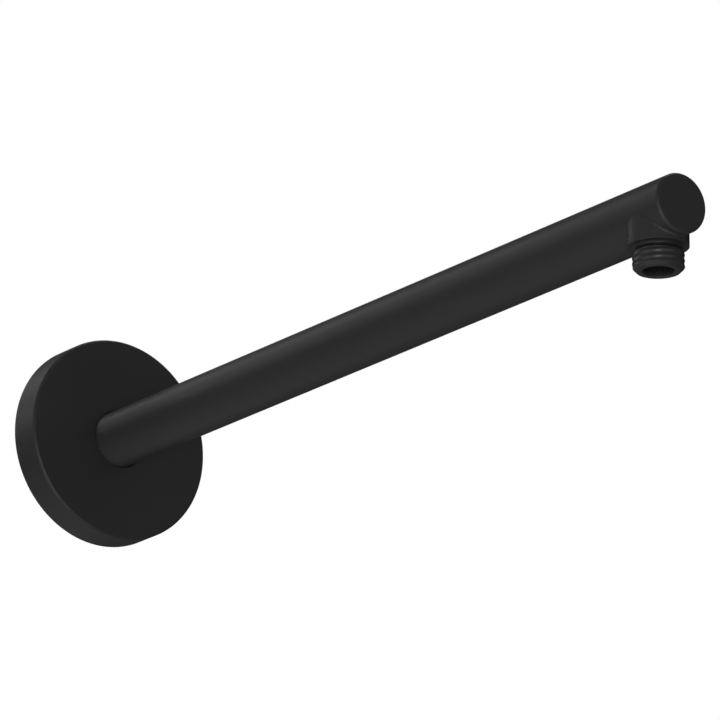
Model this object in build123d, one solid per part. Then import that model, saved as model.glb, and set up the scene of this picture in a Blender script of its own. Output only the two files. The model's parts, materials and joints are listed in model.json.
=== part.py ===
from build123d import *
import math
import os

# A straight wall shower arm. The wall is the plane y = 0, the arm runs along -Y and the outlet points
# along -Z. The origin is on the arm's axis, in the wall plane. All sizes are in millimetres.

# Arm tube
tube_diameter = 25.0
tube_wall = 1.5
reach = 393.0  # from the wall to the outlet's axis
seam_chamfer = 0.08  # on the edges that meet at each joint of the arm
braze_gap = 0.05  # round the plugs that stand inside the tube

# Outlet head
joint_behind_boss = 2.75  # from the boss's back to the joint with the tube
end_beyond_boss = 2.85  # from the boss's front to the flat end
end_round = 1.3
tenon_length = 9.0
boss_inset = 0.05  # how much smaller than the arm the boss is, in radius
boss_below_arm = 2.0
boss_blend = 1.0
boss_edge_chamfer = 0.15

# Pipe thread, alike at both ends
thread_diameter = 20.955
thread_depth = 1.162
thread_chamfer = 1.6

# Outlet spigot
outlet_neck_length = 2.5
outlet_neck_round = 1.1  # in both corners of the relief behind the thread
outlet_thread_length = 6.0
outlet_bore = 13.0
outlet_mouth_chamfer = 0.3

# Waterway in the head
head_bore = 16.0
end_wall = 5.0
drill_point_angle = 118.0

# Wall nipple
nipple_thread_in_wall = 14.5
nipple_thread_before_wall = 2.0
nipple_neck_length = 2.0
nipple_neck_round = 0.8
nipple_collar_length = 3.0
nipple_collar_chamfer = 0.5
nipple_plug_length = 12.0
nipple_bore = 14.0
nipple_mouth_chamfer = 0.8

# Escutcheon
escutcheon_diameter = 91.0
escutcheon_depth = 15.3
escutcheon_wall = 1.5
escutcheon_edge_round = 1.2
escutcheon_rim_chamfer = 0.1
escutcheon_inner_chamfer = 0.6
escutcheon_hole_clearance = 0.35
escutcheon_hole_chamfer = 0.3
hub_length = 8.0  # from the front face
hub_wall = 2.8  # outside the ring's groove

# O-ring in the escutcheon's hub
ring_section = 2.62
ring_slip = 0.08  # between the ring and the tube
ring_seat_gap = 0.05  # between the ring and the bottom of its groove
groove_side_gap = 0.2

# Worked out from the sizes above
tube_radius = tube_diameter / 2
tube_bore_radius = tube_radius - tube_wall
plug_radius = tube_bore_radius - braze_gap
boss_radius = tube_radius - boss_inset
boss_face_z = -(tube_radius + boss_below_arm)
seam_y = -(reach - boss_radius - joint_behind_boss)
end_y = -(reach + boss_radius + end_beyond_boss)
thread_radius = thread_diameter / 2
neck_radius = thread_radius - thread_depth
collar_face_y = -(nipple_thread_before_wall + nipple_neck_length)
tube_start_y = collar_face_y - nipple_collar_length
hole_radius = tube_radius + escutcheon_hole_clearance
ring_radius = tube_radius + ring_slip + ring_section / 2
groove_radius = ring_radius + ring_section / 2 + ring_seat_gap
hub_radius = groove_radius + hub_wall
ring_y = -(escutcheon_depth - (escutcheon_wall + hub_length) / 2)


def turned(*outline):
    """Solid of revolution about the arm's axis, from (radius, y) points."""
    return revolve(make_face(Polyline(*outline, close=True)), Axis.Y)


def turned_upright(*outline):
    """Solid of revolution about the outlet's axis, from (radius, z) points."""
    upright = revolve(Plane.XZ * make_face(Polyline(*outline, close=True)), Axis.Z)
    return Pos(0, -reach, 0) * upright


def rings(solid, radius, axis, place):
    """Round edges of one radius at one place along an axis."""
    near = 1e-4
    round_edges = solid.edges().filter_by(GeomType.CIRCLE)
    right_size = round_edges.filter_by(lambda edge: abs(edge.radius - radius) < near)
    return right_size.filter_by_position(axis, place - near, place + near)


def relief_round(wanted, relief_length):
    """Corner round of a thread relief, kept within its depth and half its length."""
    return min(wanted, 0.95 * thread_depth, 0.48 * relief_length)


def arm_tube():
    tube = turned(
        (tube_bore_radius, tube_start_y),
        (tube_radius, tube_start_y),
        (tube_radius, seam_y),
        (tube_bore_radius, seam_y),
    )
    for joint_y in (tube_start_y, seam_y):
        tube = chamfer(rings(tube, tube_radius, Axis.Y, joint_y), seam_chamfer)
    return tube


def head_with_boss():
    """The head's outer body, with the boss blended into its underside."""
    body = turned((0, seam_y), (tube_radius, seam_y), (tube_radius, end_y), (0, end_y))
    body = fillet(rings(body, tube_radius, Axis.Y, end_y), end_round)
    body = chamfer(rings(body, tube_radius, Axis.Y, seam_y), seam_chamfer)
    boss = turned_upright((0, 0), (boss_radius, 0), (boss_radius, boss_face_z), (0, boss_face_z))
    head = body + boss
    corner = [edge for edge in head.edges() if edge.geom_type not in (GeomType.LINE, GeomType.CIRCLE)]
    blend_room = min(
        end_beyond_boss - end_round,
        joint_behind_boss - seam_chamfer,
        boss_below_arm - boss_edge_chamfer,
    )
    head = fillet(corner, min(boss_blend, 0.9 * blend_room))
    return chamfer(rings(head, boss_radius, Axis.Z, boss_face_z), boss_edge_chamfer)


def outlet_spigot():
    """Relief neck and threaded length under the boss, at the thread's outer size."""
    thread_top_z = boss_face_z - outlet_neck_length
    thread_end_z = thread_top_z - outlet_thread_length
    return turned_upright(
        (0, boss_face_z),
        (neck_radius, boss_face_z),
        (neck_radius, thread_top_z),
        (thread_radius, thread_top_z),
        (thread_radius, thread_end_z),
        (thread_radius - thread_chamfer, thread_end_z - thread_chamfer),
        (0, thread_end_z - thread_chamfer),
    )


def head_waterway():
    """Blind drilling along the arm, met by the outlet's drilling from below."""
    drill_radius = head_bore / 2
    drill_end_y = end_y + end_wall
    point_length = drill_radius / math.tan(math.radians(drill_point_angle / 2))
    drilling = turned(
        (0, seam_y + tenon_length),
        (drill_radius, seam_y + tenon_length),
        (drill_radius, drill_end_y + point_length),
        (0, drill_end_y),
    )
    mouth_z = boss_face_z - outlet_neck_length - outlet_thread_length - thread_chamfer
    outlet_radius = outlet_bore / 2
    outlet = turned_upright(
        (0, 0),
        (outlet_radius, 0),
        (outlet_radius, mouth_z + outlet_mouth_chamfer),
        (outlet_radius + outlet_mouth_chamfer, mouth_z),
        (0, mouth_z),
    )
    return drilling + outlet


def outlet_head():
    tenon_end_y = seam_y + tenon_length
    tenon = turned((0, tenon_end_y), (plug_radius, tenon_end_y), (plug_radius, seam_y), (0, seam_y))
    head = head_with_boss() + tenon + outlet_spigot()
    corner_round = relief_round(outlet_neck_round, outlet_neck_length)
    for corner_z in (boss_face_z, boss_face_z - outlet_neck_length):
        head = fillet(rings(head, neck_radius, Axis.Z, corner_z), corner_round)
    return head - head_waterway()


def wall_nipple():
    tip_y = nipple_thread_in_wall + thread_chamfer
    plug_end_y = tube_start_y - nipple_plug_length
    bore_radius = nipple_bore / 2
    nipple = turned(
        (bore_radius + nipple_mouth_chamfer, tip_y),
        (thread_radius - thread_chamfer, tip_y),
        (thread_radius, nipple_thread_in_wall),
        (thread_radius, -nipple_thread_before_wall),
        (neck_radius, -nipple_thread_before_wall),
        (neck_radius, collar_face_y),
        (tube_radius - nipple_collar_chamfer, collar_face_y),
        (tube_radius, collar_face_y - nipple_collar_chamfer),
        (tube_radius, tube_start_y),
        (plug_radius, tube_start_y),
        (plug_radius, plug_end_y),
        (bore_radius + nipple_mouth_chamfer, plug_end_y),
        (bore_radius, plug_end_y + nipple_mouth_chamfer),
        (bore_radius, tip_y - nipple_mouth_chamfer),
    )
    corner_round = relief_round(nipple_neck_round, nipple_neck_length)
    for corner_y in (collar_face_y, -nipple_thread_before_wall):
        nipple = fillet(rings(nipple, neck_radius, Axis.Y, corner_y), corner_round)
    return chamfer(rings(nipple, tube_radius, Axis.Y, tube_start_y), seam_chamfer)


def escutcheon():
    outer_radius = escutcheon_diameter / 2
    inner_radius = outer_radius - escutcheon_wall
    front_y = -escutcheon_depth
    inside_y = front_y + escutcheon_wall
    hub_back_y = front_y + hub_length
    groove_front_y = ring_y - ring_section / 2 - groove_side_gap
    groove_back_y = ring_y + ring_section / 2 + groove_side_gap
    cover = turned(
        (hole_radius, front_y),
        (outer_radius, front_y),
        (outer_radius, 0),
        (inner_radius, 0),
        (inner_radius, inside_y),
        (hub_radius, inside_y),
        (hub_radius, hub_back_y),
        (hole_radius, hub_back_y),
        (hole_radius, groove_back_y),
        (groove_radius, groove_back_y),
        (groove_radius, groove_front_y),
        (hole_radius, groove_front_y),
    )
    bevels = [
        (hole_radius, front_y, escutcheon_hole_chamfer),
        (outer_radius, 0, escutcheon_rim_chamfer),
        (inner_radius, 0, escutcheon_rim_chamfer),
        (inner_radius, inside_y, escutcheon_inner_chamfer),
        (hub_radius, inside_y, escutcheon_inner_chamfer),
        (hub_radius, hub_back_y, escutcheon_hole_chamfer),
        (hole_radius, hub_back_y, escutcheon_hole_chamfer),
    ]
    for radius, place_y, size in bevels:
        cover = chamfer(rings(cover, radius, Axis.Y, place_y), size)
    return fillet(rings(cover, outer_radius, Axis.Y, front_y), escutcheon_edge_round)


def escutcheon_o_ring():
    return Pos(0, ring_y, 0) * Rot(90, 0, 0) * Torus(ring_radius, ring_section / 2)


pieces = [arm_tube, outlet_head, wall_nipple, escutcheon, escutcheon_o_ring]

os.makedirs("parts", exist_ok=True)
for piece in pieces:
    export_step(piece(), f"parts/{piece.__name__}.step")
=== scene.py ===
import json
import math
import bmesh
import bpy
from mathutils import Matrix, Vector


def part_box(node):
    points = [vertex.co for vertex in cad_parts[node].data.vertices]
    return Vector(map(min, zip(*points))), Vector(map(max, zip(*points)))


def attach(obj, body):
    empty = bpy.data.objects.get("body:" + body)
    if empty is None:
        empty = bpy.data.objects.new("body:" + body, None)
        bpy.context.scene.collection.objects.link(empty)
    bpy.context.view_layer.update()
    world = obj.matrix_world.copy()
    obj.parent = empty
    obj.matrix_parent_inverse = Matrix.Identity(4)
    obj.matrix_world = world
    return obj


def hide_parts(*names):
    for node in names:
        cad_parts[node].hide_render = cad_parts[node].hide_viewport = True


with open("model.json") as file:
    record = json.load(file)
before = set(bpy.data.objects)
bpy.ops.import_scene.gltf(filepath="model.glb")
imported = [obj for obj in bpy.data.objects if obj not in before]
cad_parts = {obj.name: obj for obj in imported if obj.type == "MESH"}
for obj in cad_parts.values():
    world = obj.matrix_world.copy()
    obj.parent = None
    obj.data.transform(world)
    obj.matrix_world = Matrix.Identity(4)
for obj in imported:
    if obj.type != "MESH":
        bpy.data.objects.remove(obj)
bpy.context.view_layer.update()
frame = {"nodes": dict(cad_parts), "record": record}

scene = bpy.context.scene
scene.view_settings.view_transform = "Standard"
mm = 0.001
mounts = {mount["name"]: mount for mount in frame["record"]["mounts"]}
print("frame loaded:", ", ".join(sorted(frame["nodes"])))


def directionOf(azimuth, elevation):  # azimuth 0 is towards -Y, elevation is above the horizon
    az = math.radians(azimuth)
    el = math.radians(elevation)
    return Vector((math.sin(az) * math.cos(el), -math.cos(az) * math.cos(el), math.sin(el)))


def addToScene(name, data):
    obj = bpy.data.objects.new(name, data)
    scene.collection.objects.link(obj)
    return obj


# camera

cameraSetup = {
    "eye": (-1.478893, -2.200599, -0.813453),
    "azimuth": -36.3953,
    "elevation": -17.8748,
    "lens": 311.857,
    "sensor": 36.0,
    "farClip": 60.0,
}


def addCamera(setup):
    data = bpy.data.cameras.new("photoCamera")
    data.lens = setup["lens"]
    data.sensor_width = setup["sensor"]
    data.clip_end = setup["farClip"]
    cam = addToScene("photoCamera", data)
    cam.location = setup["eye"]
    back = directionOf(setup["azimuth"], setup["elevation"])
    cam.rotation_euler = back.to_track_quat("Z", "Y").to_euler()
    scene.camera = cam


addCamera(cameraSetup)
print("camera placed")


# node helpers

def newNode(tree, kind, **settings):
    node = tree.nodes.new(kind)
    for key, value in settings.items():
        setattr(node, key, value)
    return node


def feed(tree, socket, source):  # a socket takes a link, or a plain value
    if isinstance(source, bpy.types.NodeSocket):
        tree.links.new(source, socket)
    else:
        socket.default_value = source


def calc(tree, operation, *sources):
    node = newNode(tree, "ShaderNodeMath", operation=operation)
    for socket, source in zip(node.inputs, sources):
        feed(tree, socket, source)
    return node.outputs[0]


def vectorCalc(tree, operation, *sources):
    node = newNode(tree, "ShaderNodeVectorMath", operation=operation)
    for socket, source in zip(node.inputs, sources):
        feed(tree, socket, source)
    return node.outputs["Value" if operation in ("DOT_PRODUCT", "LENGTH") else "Vector"]


def mixVectors(tree, start, end, share):
    return vectorCalc(tree, "MULTIPLY_ADD", vectorCalc(tree, "SUBTRACT", end, start), share, start)


def fadeBetween(tree, value, start, end):  # 0 at the start, 1 at the end
    node = newNode(tree, "ShaderNodeMapRange", interpolation_type="SMOOTHSTEP")
    feed(tree, node.inputs["Value"], value)
    feed(tree, node.inputs["From Min"], start)
    feed(tree, node.inputs["From Max"], end)
    return node.outputs["Result"]


# stage: white surround and a pale floor well below the arm

stageSetup = {
    "fill": 0.106,  # share of the white that lights the arm and shows in its gloss: all would grey the coat
    "darkSide": (116.0, 12.0),  # azimuth and elevation of the side that gives no light
    "darkFrom": 16.0,  # degrees from there: no light up to this angle
    "darkTo": 40.0,  # and the whole fill from this one on
    "floorDrop": 4.5,
    "floorHalf": 45.0,
    "floorTone": 0.82,
    "floorRough": 0.9,
    "floorGlow": 0.8,
}


def whiteSurround(setup):
    world = bpy.data.worlds.new("whiteSurround")
    world.use_nodes = True
    scene.world = world
    tree = world.node_tree
    towards = newNode(tree, "ShaderNodeTexCoord").outputs["Generated"]
    cosine = vectorCalc(tree, "DOT_PRODUCT", towards, directionOf(*setup["darkSide"]))
    fillEdge = math.cos(math.radians(setup["darkTo"]))
    darkEdge = math.cos(math.radians(setup["darkFrom"]))
    dark = fadeBetween(tree, cosine, fillEdge, darkEdge)
    fill = calc(tree, "MULTIPLY_ADD", dark, -setup["fill"], setup["fill"])
    rays = newNode(tree, "ShaderNodeLightPath")
    seen = calc(tree, "MAXIMUM", rays.outputs["Is Camera Ray"], rays.outputs["Is Transmission Ray"])
    sky = tree.nodes["Background"]
    sky.inputs["Color"].default_value = (1.0, 1.0, 1.0, 1.0)
    feed(tree, sky.inputs["Strength"], calc(tree, "MAXIMUM", seen, fill))


def paleFloor(setup):
    mat = bpy.data.materials.new("paleFloor")
    mat.use_nodes = True
    tree = mat.node_tree
    shader = tree.nodes["Principled BSDF"]
    tone = setup["floorTone"]
    shader.inputs["Base Color"].default_value = (tone, tone, tone, 1.0)
    shader.inputs["Roughness"].default_value = setup["floorRough"]
    shader.inputs["Emission Color"].default_value = (1.0, 1.0, 1.0, 1.0)
    rays = newNode(tree, "ShaderNodeLightPath")
    glow = calc(tree, "MULTIPLY", rays.outputs["Is Camera Ray"], setup["floorGlow"])
    feed(tree, shader.inputs["Emission Strength"], glow)
    half = setup["floorHalf"]
    square = ((-half, -half), (half, -half), (half, half), (-half, half))
    mesh = bpy.data.meshes.new("floor")
    mesh.from_pydata([(x, y, -setup["floorDrop"]) for x, y in square], [], [(0, 1, 2, 3)])
    mesh.materials.append(mat)
    addToScene("floor", mesh)


whiteSurround(stageSetup)
paleFloor(stageSetup)
print("stage ready")


# lamps: round soft boxes about the middle of the arm, each given by its direction and half angle

lampAim = Vector((0.0, -0.2, 0.0))
lampDistance = 2.5
softBoxes = {
    "front": {"azimuth": -34.0, "elevation": -28.0, "spread": 46.0, "level": 0.136},
    "frontSpot": {"azimuth": -36.0, "elevation": -18.0, "spread": 8.0, "level": 0.165},
    "left": {"azimuth": -88.0, "elevation": -8.0, "spread": 10.0, "level": 0.049},
    "lowLeft": {"azimuth": -100.0, "elevation": -40.0, "spread": 20.0, "level": 0.082},
    "leftHigh": {"azimuth": -110.0, "elevation": 34.0, "spread": 34.0, "level": 0.052},
    "rightFront": {"azimuth": 14.0, "elevation": -16.0, "spread": 10.0, "level": 0.031},
    "rightHigh": {"azimuth": 98.0, "elevation": 72.0, "spread": 14.0, "level": 0.12},
    "topFront": {"azimuth": 8.0, "elevation": 42.0, "spread": 46.0, "level": 0.038},
    "under": {"azimuth": 0.0, "elevation": -80.0, "spread": 30.0, "level": 0.038},
    "lowBehind": {"azimuth": -144.0, "elevation": -66.0, "spread": 46.0, "level": 0.085},
    "leftBehind": {"azimuth": -126.0, "elevation": -12.0, "spread": 8.0, "level": 0.006},
    "behindRight": {"azimuth": 170.0, "elevation": -20.0, "spread": 16.0, "level": 0.010},
    "behindLeft": {"azimuth": -151.0, "elevation": 27.0, "spread": 5.0, "level": 0.004},
    "behindBoss": {"azimuth": -157.0, "elevation": 19.0, "spread": 5.0, "level": 0.009, "coverShades": True},
    "behindTube": {"azimuth": -158.0, "elevation": 21.0, "spread": 4.0, "level": 0.008},
    "behindArm": {"azimuth": -165.0, "elevation": 37.0, "spread": 7.0, "level": 0.022},
    "behindHigh": {"azimuth": -178.0, "elevation": 40.0, "spread": 7.0, "level": 0.0045},
}

# of the lamps behind the wall, the cover shades the arm only from the one marked coverShades
seeThrough = bpy.data.collections.new("seeThrough")
seeThrough.objects.link(frame["nodes"]["escutcheon"])
for member in seeThrough.collection_objects:
    member.light_linking.link_state = "EXCLUDE"


def addSoftBox(name, box):  # a small lamp of level 1 would light a white card that faces it to white
    data = bpy.data.lights.new(name, "AREA")
    data.shape = "DISK"
    spread = math.radians(box["spread"])
    radius = lampDistance * math.tan(spread)
    data.size = 2 * radius
    data.energy = box["level"] * (math.pi * radius) ** 2 / (2 - 2 * math.cos(spread))
    lamp = addToScene(name, data)
    towards = directionOf(box["azimuth"], box["elevation"])
    lamp.location = lampAim + towards * lampDistance
    lamp.rotation_euler = towards.to_track_quat("Z", "Y").to_euler()
    lamp.visible_camera = False
    if towards.y > 0 and not box.get("coverShades"):
        lamp.light_linking.blocker_collection = seeThrough


for boxName, box in softBoxes.items():
    addSoftBox(boxName, box)
print("lamps:", len(softBoxes))


# finishes

grainMix = {
    "cloudDetail": 3.0,
    "cloudShare": 0.6,
    "grainDetail": 2.0,
    "grainRough": 0.6,
    "grainShare": 0.4,
    "roughSpan": (0.25, 0.75),  # values of the mix that give the lowest and the highest roughness
}


def fineGrainGroup(mix):  # shared by the coat and the rubber: cloudy tone, fine grain in roughness and height
    tree = bpy.data.node_groups.new("fineGrain", "ShaderNodeTree")
    face = tree.interface
    face.new_socket("Dark", in_out="INPUT", socket_type="NodeSocketColor")
    face.new_socket("Light", in_out="INPUT", socket_type="NodeSocketColor")
    for name in ("Cloud Scale", "Grain Scale", "Rough Low", "Rough High"):
        face.new_socket(name, in_out="INPUT", socket_type="NodeSocketFloat")
    face.new_socket("Color", in_out="OUTPUT", socket_type="NodeSocketColor")
    face.new_socket("Roughness", in_out="OUTPUT", socket_type="NodeSocketFloat")
    face.new_socket("Height", in_out="OUTPUT", socket_type="NodeSocketFloat")
    inside = newNode(tree, "NodeGroupInput").outputs
    outside = newNode(tree, "NodeGroupOutput").inputs
    place = newNode(tree, "ShaderNodeTexCoord").outputs["Object"]

    cloud = newNode(tree, "ShaderNodeTexNoise")
    feed(tree, cloud.inputs["Vector"], place)
    feed(tree, cloud.inputs["Scale"], inside["Cloud Scale"])
    cloud.inputs["Detail"].default_value = mix["cloudDetail"]
    grain = newNode(tree, "ShaderNodeTexNoise")
    feed(tree, grain.inputs["Vector"], place)
    feed(tree, grain.inputs["Scale"], inside["Grain Scale"])
    grain.inputs["Detail"].default_value = mix["grainDetail"]
    grain.inputs["Roughness"].default_value = mix["grainRough"]

    clouds = calc(tree, "MULTIPLY", cloud.outputs["Fac"], mix["cloudShare"])
    both = calc(tree, "MULTIPLY_ADD", grain.outputs["Fac"], mix["grainShare"], clouds)
    tone = newNode(tree, "ShaderNodeMix", data_type="RGBA")
    feed(tree, tone.inputs["Factor"], both)
    feed(tree, tone.inputs["A"], inside["Dark"])
    feed(tree, tone.inputs["B"], inside["Light"])
    rough = newNode(tree, "ShaderNodeMapRange")
    feed(tree, rough.inputs["Value"], both)
    feed(tree, rough.inputs["From Min"], mix["roughSpan"][0])
    feed(tree, rough.inputs["From Max"], mix["roughSpan"][1])
    feed(tree, rough.inputs["To Min"], inside["Rough Low"])
    feed(tree, rough.inputs["To Max"], inside["Rough High"])
    feed(tree, outside["Color"], tone.outputs["Result"])
    feed(tree, outside["Roughness"], rough.outputs["Result"])
    feed(tree, outside["Height"], grain.outputs["Fac"])
    return tree


def grainedFinish(name, look, group):
    mat = bpy.data.materials.new(name)
    mat.use_nodes = True
    tree = mat.node_tree
    shader = tree.nodes["Principled BSDF"]
    shader.inputs["IOR"].default_value = look["ior"]
    grain = newNode(tree, "ShaderNodeGroup", node_tree=group)
    grain.inputs["Dark"].default_value = (*look["dark"], 1.0)
    grain.inputs["Light"].default_value = (*look["light"], 1.0)
    grain.inputs["Cloud Scale"].default_value = 1.0 / look["cloud"]
    grain.inputs["Grain Scale"].default_value = 1.0 / look["grain"]
    grain.inputs["Rough Low"].default_value = look["rough"] - look["roughSpread"]
    grain.inputs["Rough High"].default_value = look["rough"] + look["roughSpread"]
    bump = newNode(tree, "ShaderNodeBump")
    bump.inputs["Strength"].default_value = look["bump"]
    bump.inputs["Distance"].default_value = look["bumpHeight"]
    feed(tree, bump.inputs["Height"], grain.outputs["Height"])
    feed(tree, shader.inputs["Base Color"], grain.outputs["Color"])
    feed(tree, shader.inputs["Roughness"], grain.outputs["Roughness"])
    feed(tree, shader.inputs["Normal"], bump.outputs["Normal"])
    return mat


def maskFrom(tree, name):  # a mask that the mesh carries
    return newNode(tree, "ShaderNodeAttribute", attribute_name=name).outputs["Fac"]


def objectHeight(tree):
    split = newNode(tree, "ShaderNodeSeparateXYZ")
    feed(tree, split.inputs["Vector"], newNode(tree, "ShaderNodeTexCoord").outputs["Object"])
    return split.outputs["Z"]


def partFinish(mat, look):  # painted shade in recesses: darker colour and weaker reflection where the mesh carries the recess mask, smoother where it says thread
    tree = mat.node_tree
    shader = tree.nodes["Principled BSDF"]
    grain = next(node for node in tree.nodes if node.type == "GROUP")
    pastMouth = fadeBetween(tree, objectHeight(tree), look["mouth"], look["mouth"] + look["mouthDepth"])
    # painted shade: the recess mask, growing from the mouth inwards, darkens the coat's colour and weakens
    # its reflection
    recessShade = calc(tree, "MULTIPLY", maskFrom(tree, "recessShade"), pastMouth)
    kept = calc(tree, "MULTIPLY_ADD", recessShade, -look["paintedShadeLoss"], 1.0)
    tone = newNode(tree, "ShaderNodeVectorMath", operation="SCALE")
    feed(tree, tone.inputs[0], grain.outputs["Color"])
    feed(tree, tone.inputs["Scale"], kept)
    feed(tree, shader.inputs["Base Color"], tone.outputs["Vector"])
    feed(tree, shader.inputs["Specular IOR Level"], calc(tree, "MULTIPLY", kept, look["specular"]))
    thread = maskFrom(tree, "thread")
    rough = calc(tree, "MULTIPLY_ADD", thread, -look["threadGloss"], grain.outputs["Roughness"])
    feed(tree, shader.inputs["Roughness"], rough)


def softSaddle(mat, saddle):  # shading runs on from boss to arm where the two meet at a shallow angle
    tree = mat.node_tree
    place = newNode(tree, "ShaderNodeTexCoord").outputs["Object"]
    fromMount = vectorCalc(tree, "SUBTRACT", place, saddle["place"])
    fromBoss = vectorCalc(tree, "MULTIPLY", fromMount, (1.0, 1.0, 0.0))
    fromArm = vectorCalc(tree, "MULTIPLY", place, (1.0, 0.0, 1.0))
    bossNormal = vectorCalc(tree, "NORMALIZE", fromBoss)
    armNormal = vectorCalc(tree, "NORMALIZE", fromArm)
    offBoss = calc(tree, "SUBTRACT", vectorCalc(tree, "LENGTH", fromBoss), saddle["bossRadius"])
    offArm = calc(tree, "SUBTRACT", vectorCalc(tree, "LENGTH", fromArm), saddle["armRadius"])
    cosine = vectorCalc(tree, "DOT_PRODUCT", bossNormal, armNormal)
    widen = fadeBetween(tree, cosine, *saddle["widen"])
    spans = zip(saddle["narrowBlend"], saddle["wideBlend"])
    ends = [calc(tree, "MULTIPLY_ADD", widen, wide - narrow, narrow) for narrow, wide in spans]
    onArm = fadeBetween(tree, calc(tree, "SUBTRACT", offBoss, offArm), *ends)
    turned = mixVectors(tree, bossNormal, armNormal, onArm)
    alike = fadeBetween(tree, cosine, *saddle["alike"])
    below = calc(tree, "SUBTRACT", 1.0, fadeBetween(tree, objectHeight(tree), *saddle["fade"]))
    mask = calc(tree, "MULTIPLY", maskFrom(tree, "saddle"), calc(tree, "MULTIPLY", alike, below))
    meshNormal = newNode(tree, "ShaderNodeNewGeometry").outputs["Normal"]
    blend = mixVectors(tree, meshNormal, turned, mask)
    bump = next(node for node in tree.nodes if node.type == "BUMP")
    feed(tree, bump.inputs["Normal"], vectorCalc(tree, "NORMALIZE", blend))


coatLook = {
    "dark": (0.0255, 0.0255, 0.0257),
    "light": (0.0285, 0.0285, 0.0287),
    "cloud": 40 * mm,
    "grain": 0.35 * mm,
    "rough": 0.45,
    "roughSpread": 0.02,
    "bump": 0.25,
    "bumpHeight": 0.03 * mm,
    "ior": 1.5,
    "specular": 0.5,
    # painted shade in bore, waterway and thread relief: share of tone and reflection taken off there
    "paintedShadeLoss": 0.55,
    "mouth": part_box("outlet_head")[0].z,  # the painted shade grows from the outlet's mouth inwards
    "mouthDepth": 3.0 * mm,
    "threadGloss": 0.06,
}
rubberLook = {
    "dark": (0.010, 0.010, 0.010),
    "light": (0.018, 0.018, 0.017),
    "cloud": 6 * mm,
    "grain": 0.15 * mm,
    "rough": 0.62,
    "roughSpread": 0.06,
    "bump": 0.2,
    "bumpHeight": 0.02 * mm,
    "ior": 1.52,
}
bossSaddle = {
    "place": Vector(mounts["outlet_thread"]["pos_m"]),
    "armRadius": 12.5 * mm,
    "bossRadius": 12.45 * mm,
    "narrowBlend": (-0.35 * mm, -0.2 * mm),  # from the boss's side to the arm's of the line where they meet
    "wideBlend": (-1.0 * mm, 0.1 * mm),
    "widen": (0.8, 0.97),  # cosine of the angle between the two, from narrow to wide
    "alike": (0.4, 0.62),  # the same cosine where the softening starts and is full
    "fade": (-1.0 * mm, 0.5 * mm),  # heights between which the softening ends
}
fineGrain = fineGrainGroup(grainMix)
matteCoat = grainedFinish("matteBlackCoat", coatLook, fineGrain)
partFinish(matteCoat, coatLook)
softSaddle(matteCoat, bossSaddle)
sealRubber = grainedFinish("sealRubber", rubberLook, fineGrain)
print("finishes ready")


# geometry node trees

sharpAngle = math.radians(28)
largeFaceWeight = 100  # normals lean towards the large faces as far as the modifier allows
threadMargins = {
    "boreShare": 0.45,  # share of the die's wall inwards from its middle, beyond which a point is on the bore
    "belowCrest": 0.05 * mm,
    "pastStart": 0.02 * mm,
    "beforeEnd": 0.1 * mm,
    "outerShare": 0.9,  # share of the thread's radius from which a point is outside and not in the bore
}


def socketIds(tree):
    return {item.name: item.identifier for item in tree.interface.items_tree if item.in_out == "INPUT"}


def runTree(obj, tree, values, weightNormals=False):  # gives the finished mesh and takes the tree off again
    step = obj.modifiers.new(tree.name, "NODES")
    step.node_group = tree
    ids = socketIds(tree)
    for name, value in values.items():
        step[ids[name]] = value
    if weightNormals:
        even = obj.modifiers.new("evenNormals", "WEIGHTED_NORMAL")
        even.keep_sharp = True
        even.weight = largeFaceWeight
    made = bpy.data.meshes.new_from_object(obj.evaluated_get(bpy.context.evaluated_depsgraph_get()))
    obj.modifiers.clear()
    oldMesh = obj.data
    obj.data = made
    bpy.data.meshes.remove(oldMesh)


def newTree(name, floats, others):
    tree = bpy.data.node_groups.new(name, "GeometryNodeTree")
    face = tree.interface
    face.new_socket("Geometry", in_out="INPUT", socket_type="NodeSocketGeometry")
    for title in floats:
        face.new_socket(title, in_out="INPUT", socket_type="NodeSocketFloat")
    for title, kind in others.items():
        face.new_socket(title, in_out="INPUT", socket_type=kind)
    face.new_socket("Geometry", in_out="OUTPUT", socket_type="NodeSocketGeometry")
    return tree, newNode(tree, "NodeGroupInput").outputs, newNode(tree, "NodeGroupOutput").inputs


def ringAlong(tree, radius, segments, section):  # a closed section carried round a circle about Z
    circle = newNode(tree, "GeometryNodeCurvePrimitiveCircle", mode="RADIUS")
    feed(tree, circle.inputs["Resolution"], segments)
    feed(tree, circle.inputs["Radius"], radius)
    level = newNode(tree, "GeometryNodeSetCurveNormal", mode="Z_UP")
    feed(tree, level.inputs["Curve"], circle.outputs["Curve"])
    sweep = newNode(tree, "GeometryNodeCurveToMesh")
    feed(tree, sweep.inputs["Curve"], level.outputs["Curve"])
    feed(tree, sweep.inputs["Profile Curve"], section)
    return sweep.outputs["Mesh"]


def finishMesh(tree, geometry, creaseAngle, material, result):  # smooth, but creased where faces meet sharply
    smooth = newNode(tree, "GeometryNodeSetShadeSmooth", domain="FACE")
    feed(tree, smooth.inputs["Geometry"], geometry)
    bend = newNode(tree, "GeometryNodeInputMeshEdgeAngle").outputs["Unsigned Angle"]
    crease = newNode(tree, "GeometryNodeSetShadeSmooth", domain="EDGE")
    feed(tree, crease.inputs["Geometry"], smooth.outputs["Geometry"])
    feed(tree, crease.inputs["Selection"], calc(tree, "GREATER_THAN", bend, creaseAngle))
    crease.inputs["Shade Smooth"].default_value = False
    real = newNode(tree, "GeometryNodeRealizeInstances")
    feed(tree, real.inputs["Geometry"], crease.outputs["Geometry"])
    paint = newNode(tree, "GeometryNodeSetMaterial")
    feed(tree, paint.inputs["Geometry"], real.outputs["Geometry"])
    feed(tree, paint.inputs["Material"], material)
    feed(tree, result["Geometry"], paint.outputs["Geometry"])


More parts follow.
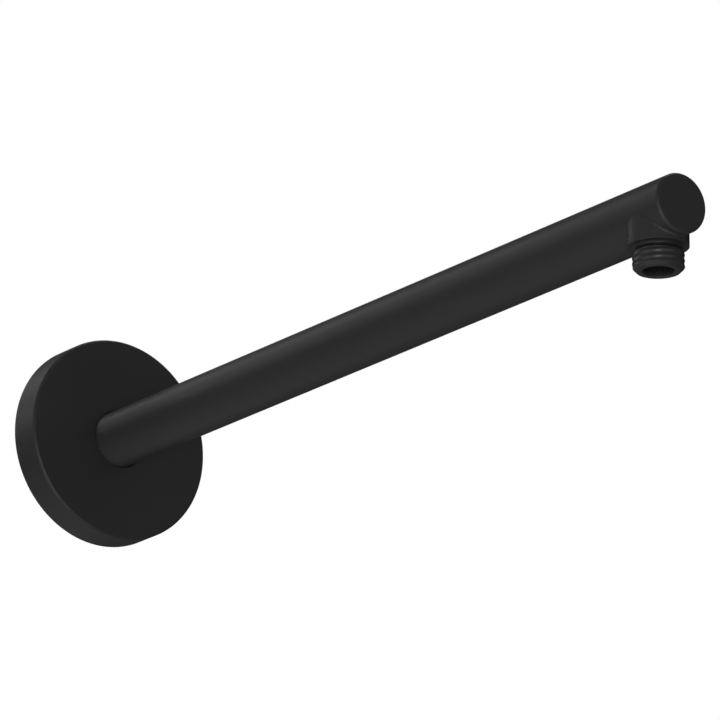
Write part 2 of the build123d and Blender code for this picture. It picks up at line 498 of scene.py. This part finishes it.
def placeOnAxis(tree, origin, axis):  # how far each point lies along an axis, and out from it
    point = newNode(tree, "GeometryNodeInputPosition").outputs["Position"]
    offset = vectorCalc(tree, "SUBTRACT", point, origin)
    beside = vectorCalc(tree, "SUBTRACT", offset, vectorCalc(tree, "PROJECT", offset, axis))
    return vectorCalc(tree, "DOT_PRODUCT", offset, axis), vectorCalc(tree, "LENGTH", beside)


def keepMask(tree, geometry, name, mask):
    store = newNode(tree, "GeometryNodeStoreNamedAttribute", data_type="FLOAT", domain="POINT")
    feed(tree, store.inputs["Geometry"], geometry)
    store.inputs["Name"].default_value = name
    feed(tree, store.inputs["Value"], mask)
    return store.outputs["Geometry"]


def cutThreadTree(margins):  # a die with a wavy helical bore takes everything outside the thread off a blank
    tree, ins, outs = newTree(
        "cutThread",
        (
            "Major Radius", "Pitch", "Depth", "Turn At Start",
            "Die Start", "Die End", "Die Wall", "Step", "Thread Start", "Thread End",
            "Bore Radius", "Waterway Radius", "Relief Shade From", "Relief Shade To", "Sharp Angle",
        ),
        {
            "Segments": "NodeSocketInt",
            "Place": "NodeSocketVector",
            "Turn": "NodeSocketVector",
            "Material": "NodeSocketMaterial",
        },
    )
    length = calc(tree, "SUBTRACT", ins["Die End"], ins["Die Start"])
    middle = calc(tree, "MULTIPLY", calc(tree, "ADD", ins["Die End"], ins["Die Start"]), 0.5)
    section = newNode(tree, "GeometryNodeCurvePrimitiveQuadrilateral", mode="RECTANGLE")
    feed(tree, section.inputs["Width"], ins["Die Wall"])
    feed(tree, section.inputs["Height"], length)
    fine = newNode(tree, "GeometryNodeResampleCurve", mode="LENGTH")
    feed(tree, fine.inputs["Curve"], section.outputs["Curve"])
    feed(tree, fine.inputs["Length"], ins["Step"])
    die = ringAlong(tree, ins["Major Radius"], ins["Segments"], fine.outputs["Curve"])

    here = newNode(tree, "ShaderNodeSeparateXYZ")
    feed(tree, here.inputs["Vector"], newNode(tree, "GeometryNodeInputPosition").outputs["Position"])
    x, y, z = (here.outputs[axis] for axis in "XYZ")
    squares = calc(tree, "ADD", calc(tree, "MULTIPLY", x, x), calc(tree, "MULTIPLY", y, y))
    away = calc(tree, "SQRT", squares)
    along = calc(tree, "ADD", z, middle)
    turns = calc(tree, "MULTIPLY", calc(tree, "DIVIDE", along, ins["Pitch"]), math.tau)
    ahead = calc(tree, "SUBTRACT", turns, calc(tree, "ARCTAN2", y, x))
    angle = calc(tree, "SUBTRACT", ahead, ins["Turn At Start"])
    wave = calc(tree, "MULTIPLY_ADD", calc(tree, "COSINE", angle), -0.5, 0.5)
    bore = calc(tree, "SUBTRACT", ins["Major Radius"], calc(tree, "MULTIPLY", wave, ins["Depth"]))
    boreLimit = calc(tree, "MULTIPLY_ADD", ins["Die Wall"], -margins["boreShare"], ins["Major Radius"])
    share = calc(tree, "DIVIDE", bore, away)
    wavy = newNode(tree, "ShaderNodeCombineXYZ")
    feed(tree, wavy.inputs["X"], calc(tree, "MULTIPLY", x, share))
    feed(tree, wavy.inputs["Y"], calc(tree, "MULTIPLY", y, share))
    feed(tree, wavy.inputs["Z"], z)
    shaped = newNode(tree, "GeometryNodeSetPosition")
    feed(tree, shaped.inputs["Geometry"], die)
    feed(tree, shaped.inputs["Selection"], calc(tree, "LESS_THAN", away, boreLimit))
    feed(tree, shaped.inputs["Position"], wavy.outputs["Vector"])

    lift = newNode(tree, "ShaderNodeCombineXYZ")
    feed(tree, lift.inputs["Z"], middle)
    seated = newNode(tree, "GeometryNodeTransform")
    feed(tree, seated.inputs["Geometry"], shaped.outputs["Geometry"])
    feed(tree, seated.inputs["Translation"], lift.outputs["Vector"])
    turn = newNode(tree, "FunctionNodeEulerToRotation")
    feed(tree, turn.inputs["Euler"], ins["Turn"])
    placed = newNode(tree, "GeometryNodeTransform")
    feed(tree, placed.inputs["Geometry"], seated.outputs["Geometry"])
    feed(tree, placed.inputs["Translation"], ins["Place"])
    feed(tree, placed.inputs["Rotation"], turn.outputs["Rotation"])
    cut = newNode(tree, "GeometryNodeMeshBoolean", operation="DIFFERENCE", solver="MANIFOLD")
    feed(tree, cut.inputs["Mesh 1"], ins["Geometry"])
    feed(tree, cut.inputs["Mesh 2"], placed.outputs["Geometry"])

    axis = newNode(tree, "FunctionNodeRotateVector")
    axis.inputs["Vector"].default_value = (0.0, 0.0, 1.0)
    feed(tree, axis.inputs["Rotation"], turn.outputs["Rotation"])
    down, out = placeOnAxis(tree, ins["Place"], axis.outputs["Vector"])
    outFromArm = placeOnAxis(tree, (0.0, 0.0, 0.0), (0.0, 1.0, 0.0))[1]
    # painted shade mask, stored on the mesh: the thread relief, the bore and the waterway
    crest = calc(tree, "SUBTRACT", ins["Major Radius"], margins["belowCrest"])
    belowCrest = calc(tree, "LESS_THAN", out, crest)
    reliefEnd = calc(tree, "ADD", ins["Thread Start"], margins["pastStart"])
    beforeThread = calc(tree, "LESS_THAN", down, reliefEnd)
    fade = fadeBetween(tree, down, ins["Relief Shade From"], ins["Relief Shade To"])
    relief = calc(tree, "MULTIPLY", fade, calc(tree, "MULTIPLY", belowCrest, beforeThread))
    inBore = calc(tree, "LESS_THAN", out, ins["Bore Radius"])
    inWaterway = calc(tree, "LESS_THAN", outFromArm, ins["Waterway Radius"])
    recessShade = calc(tree, "MAXIMUM", relief, calc(tree, "MAXIMUM", inBore, inWaterway))
    pastStart = calc(tree, "GREATER_THAN", down, ins["Thread Start"])
    lastTurn = calc(tree, "SUBTRACT", ins["Thread End"], margins["beforeEnd"])
    inThread = calc(tree, "MULTIPLY", pastStart, calc(tree, "LESS_THAN", down, lastTurn))
    outerFrom = calc(tree, "MULTIPLY", ins["Major Radius"], margins["outerShare"])
    outside = calc(tree, "GREATER_THAN", out, outerFrom)
    marked = keepMask(tree, cut.outputs["Mesh"], "recessShade", recessShade)
    marked = keepMask(tree, marked, "thread", calc(tree, "MULTIPLY", inThread, outside))
    finishMesh(tree, marked, ins["Sharp Angle"], ins["Material"], outs)
    return tree


def turnedTubeTree():  # a wall with broken edges, turned about Y
    tree, ins, outs = newTree(
        "turnedTube",
        ("Outer Radius", "Bore Radius", "From", "To", "Edge Break", "Sharp Angle"),
        {"Segments": "NodeSocketInt", "Material": "NodeSocketMaterial"},
    )
    wall = newNode(tree, "GeometryNodeCurvePrimitiveQuadrilateral", mode="RECTANGLE")
    feed(tree, wall.inputs["Width"], calc(tree, "SUBTRACT", ins["Outer Radius"], ins["Bore Radius"]))
    feed(tree, wall.inputs["Height"], calc(tree, "SUBTRACT", ins["To"], ins["From"]))
    broken = newNode(tree, "GeometryNodeFilletCurve", mode="POLY")
    feed(tree, broken.inputs["Curve"], wall.outputs["Curve"])
    broken.inputs["Count"].default_value = 1
    feed(tree, broken.inputs["Radius"], ins["Edge Break"])
    midRadius = calc(tree, "MULTIPLY", calc(tree, "ADD", ins["Outer Radius"], ins["Bore Radius"]), 0.5)
    tube = ringAlong(tree, midRadius, ins["Segments"], broken.outputs["Curve"])
    shift = newNode(tree, "ShaderNodeCombineXYZ")
    feed(tree, shift.inputs["Y"], calc(tree, "MULTIPLY", calc(tree, "ADD", ins["From"], ins["To"]), 0.5))
    laid = newNode(tree, "GeometryNodeTransform")
    feed(tree, laid.inputs["Geometry"], tube)
    feed(tree, laid.inputs["Translation"], shift.outputs["Vector"])
    laid.inputs["Rotation"].default_value = (-math.pi / 2, 0.0, 0.0)
    finishMesh(tree, laid.outputs["Geometry"], ins["Sharp Angle"], ins["Material"], outs)
    return tree


cutThread = cutThreadTree(threadMargins)
turnedTube = turnedTubeTree()
print("node trees ready")


# arm tube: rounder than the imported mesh, from the same sizes

tubeLook = {"segments": 160, "edgeBreak": 0.02 * mm}


def makeTube(look):
    node = frame["nodes"]["arm_tube"]
    low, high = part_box("arm_tube")
    obj = addToScene("armTube", bpy.data.meshes.new("armTube"))
    runTree(obj, turnedTube, {
        "Outer Radius": (high.x - low.x) / 2,
        "Bore Radius": min(math.hypot(v.co.x, v.co.z) for v in node.data.vertices),
        "From": low.y,
        "To": high.y,
        "Edge Break": look["edgeBreak"],
        "Segments": look["segments"],
        "Sharp Angle": sharpAngle,
        "Material": matteCoat,
    })
    return obj


# threaded pieces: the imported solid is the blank, left a little oversize where the die runs

threadForm = {
    "pitch": 2.4 * mm,
    "depth": 0.28 * mm,
    "turnAtStart": math.radians(272.6),
    "dieWall": 3.0 * mm,
    "oversize": 0.3 * mm,
    "weld": 0.0001 * mm,
    "near": 0.005 * mm,  # how far off the thread's cylinder a point may be and still count as on it
}
outletThread = {
    **threadForm,
    "node": "outlet_head",
    "mount": "outlet_thread",
    "threadStart": -3.0 * mm,  # along the mount's axis from its place, as the die and the relief are
    "threadEnd": 3.0 * mm,
    "dieStart": -4.2 * mm,
    "dieEnd": 5.6 * mm,
    "step": 0.08 * mm,
    "segments": 176,
    "boreRadius": 6.55 * mm,
    "waterwayRadius": 8.05 * mm,
    "reliefShadeFrom": -5.8 * mm,  # painted shade in the relief grows from here to there
    "reliefShadeTo": -4.0 * mm,
}
wallThread = {
    **threadForm,
    "node": "wall_nipple",
    "mount": "wall_thread",
    "threadStart": -2.0 * mm,
    "threadEnd": 14.5 * mm,
    "dieStart": -3.0 * mm,
    "dieEnd": 17.2 * mm,
    "step": 0.10 * mm,
    "segments": 144,
    "boreRadius": 7.05 * mm,
    "waterwayRadius": 7.05 * mm,
    # painted shade in the relief grows from here to there
    "reliefShadeFrom": -3.6 * mm,
    "reliefShadeTo": -2.8 * mm,
}


def threadBlank(name, thread, place, axis, radius):
    bm = bmesh.new()
    bm.from_mesh(frame["nodes"][thread["node"]].data)
    bmesh.ops.remove_doubles(bm, verts=bm.verts, dist=thread["weld"])
    near = thread["near"]
    for vert in bm.verts:
        along = (vert.co - place).dot(axis)
        across = (vert.co - place) - axis * along
        onThread = abs(across.length - radius) < near
        if onThread and thread["threadStart"] - near < along < thread["threadEnd"] + near:
            vert.co += across.normalized() * thread["oversize"]
            if along > thread["threadEnd"] - near:
                vert.co -= axis * thread["oversize"]  # the tip's 45 degree cone runs on in line
    bm.verts.index_update()
    points = [vert.co.copy() for vert in bm.verts]
    faces = [[vert.index for vert in face.verts] for face in bm.faces]
    bm.free()
    mesh = bpy.data.meshes.new(name)
    mesh.from_pydata(points, [], faces)
    return mesh


def makeThreaded(name, thread):
    mount = mounts[thread["mount"]]
    place = Vector(mount["pos_m"])
    axis = Vector(mount["axis"])
    radius = mount["dims"]["r_mm"] * mm
    obj = addToScene(name, threadBlank(name, thread, place, axis, radius))
    runTree(obj, cutThread, {
        "Major Radius": radius,
        "Pitch": thread["pitch"],
        "Depth": thread["depth"],
        "Turn At Start": thread["turnAtStart"],
        "Die Start": thread["dieStart"],
        "Die End": thread["dieEnd"],
        "Die Wall": thread["dieWall"],
        "Step": thread["step"],
        "Thread Start": thread["threadStart"],
        "Thread End": thread["threadEnd"],
        "Bore Radius": thread["boreRadius"],
        "Waterway Radius": thread["waterwayRadius"],
        "Relief Shade From": thread["reliefShadeFrom"],
        "Relief Shade To": thread["reliefShadeTo"],
        "Segments": thread["segments"],
        "Place": place,
        "Turn": Vector(Vector((0.0, 0.0, 1.0)).rotation_difference(axis).to_euler()),
        "Sharp Angle": sharpAngle,
        "Material": matteCoat,
    }, weightNormals=True)
    return obj


def markSaddle(mesh, saddle):  # the outer faces of boss and arm
    mask = mesh.attributes.new("saddle", "FLOAT", "POINT")
    near = 0.01 * mm
    for vert, item in zip(mesh.vertices, mask.data):
        offArm = math.hypot(vert.co.x, vert.co.z) - saddle["armRadius"]
        offBoss = math.hypot(vert.co.x, vert.co.y - saddle["place"].y) - saddle["bossRadius"]
        item.value = float(offArm > -near and (offBoss > -near or offArm < near))


madePieces = {
    "arm_tube": makeTube(tubeLook),
    "outlet_head": makeThreaded("outletHead", outletThread),
    "wall_nipple": makeThreaded("wallNipple", wallThread),
}
markSaddle(madePieces["outlet_head"].data, bossSaddle)
for nodeName, piece in madePieces.items():
    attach(piece, "arm")
    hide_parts(nodeName)
    print("made", piece.name, "faces", len(piece.data.polygons))


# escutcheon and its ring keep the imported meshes

packedLooks = {"escutcheon": matteCoat, "escutcheon_o_ring": sealRubber}
for nodeName, finish in packedLooks.items():
    packed = frame["nodes"][nodeName].data
    packed.materials.clear()
    packed.materials.append(finish)
print("escutcheon finished")
